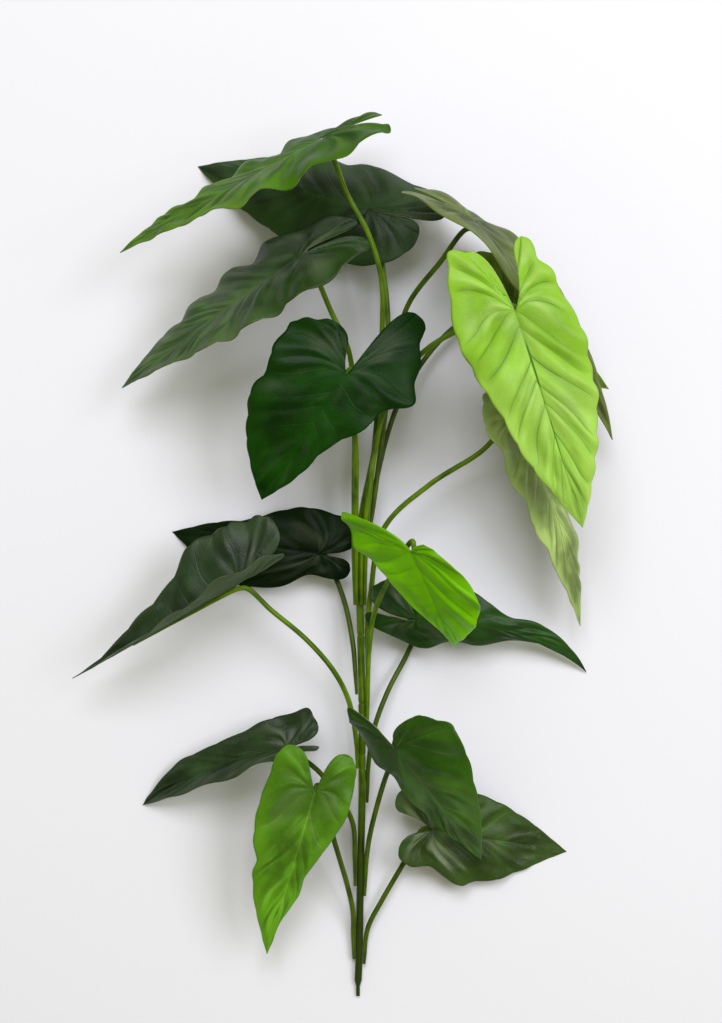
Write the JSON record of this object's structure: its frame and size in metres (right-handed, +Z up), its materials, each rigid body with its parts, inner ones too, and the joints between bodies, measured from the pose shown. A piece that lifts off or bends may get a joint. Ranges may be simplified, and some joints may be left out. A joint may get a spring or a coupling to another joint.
{
  "type": "alocasia leaf spray",
  "caption": "Long artificial foliage stem laid flat, with thin curved stalks that each carry one arrow-shaped waved leaf in dark or yellow green.",
  "frame": {"origin": "on the surface that the spray lies on, under the middle of its footprint", "axes": "+Z up from the surface; +Y along the main stem, from its cut foot to its head; +X to the right seen from above"},
  "size_m": [0.5404, 0.8834, 0.1959],
  "materials": {
    "leaf_dark": "satin, dark green",
    "leaf_mid": "satin, mid green",
    "leaf_bright": "satin, yellow-green",
    "leaf_grey": "matte, grey-green",
    "stalk": "satin, olive green",
    "stem": "satin, dark olive green"
  },
  "bodies": {
    "root": {"main_stem": "stem", "stalk_01": "stalk", "stalk_02": "stalk", "stalk_03": "stalk", "stalk_04": "stalk", "stalk_05": "stalk", "stalk_06": "stalk", "stalk_07": "stalk", "stalk_08": "stalk", "stalk_09": "stalk", "stalk_10": "stalk", "stalk_11": "stalk", "stalk_12": "stalk", "stalk_13": "stalk", "stalk_14": "stalk", "stalk_15": "stalk", "stalk_16": "stalk", "leaf_01": "leaf_mid", "leaf_02": "leaf_dark", "leaf_03": "leaf_dark", "leaf_04": "leaf_grey", "leaf_05": "leaf_bright", "leaf_06": "leaf_dark", "leaf_07": "leaf_grey", "leaf_08": "leaf_dark", "leaf_09": "leaf_dark", "leaf_10": "leaf_dark", "leaf_11": "leaf_bright", "leaf_12": "leaf_dark", "leaf_13": "leaf_dark", "leaf_14": "leaf_mid", "leaf_15": "leaf_mid", "leaf_16": "leaf_dark"}
  },
  "joints": []
}
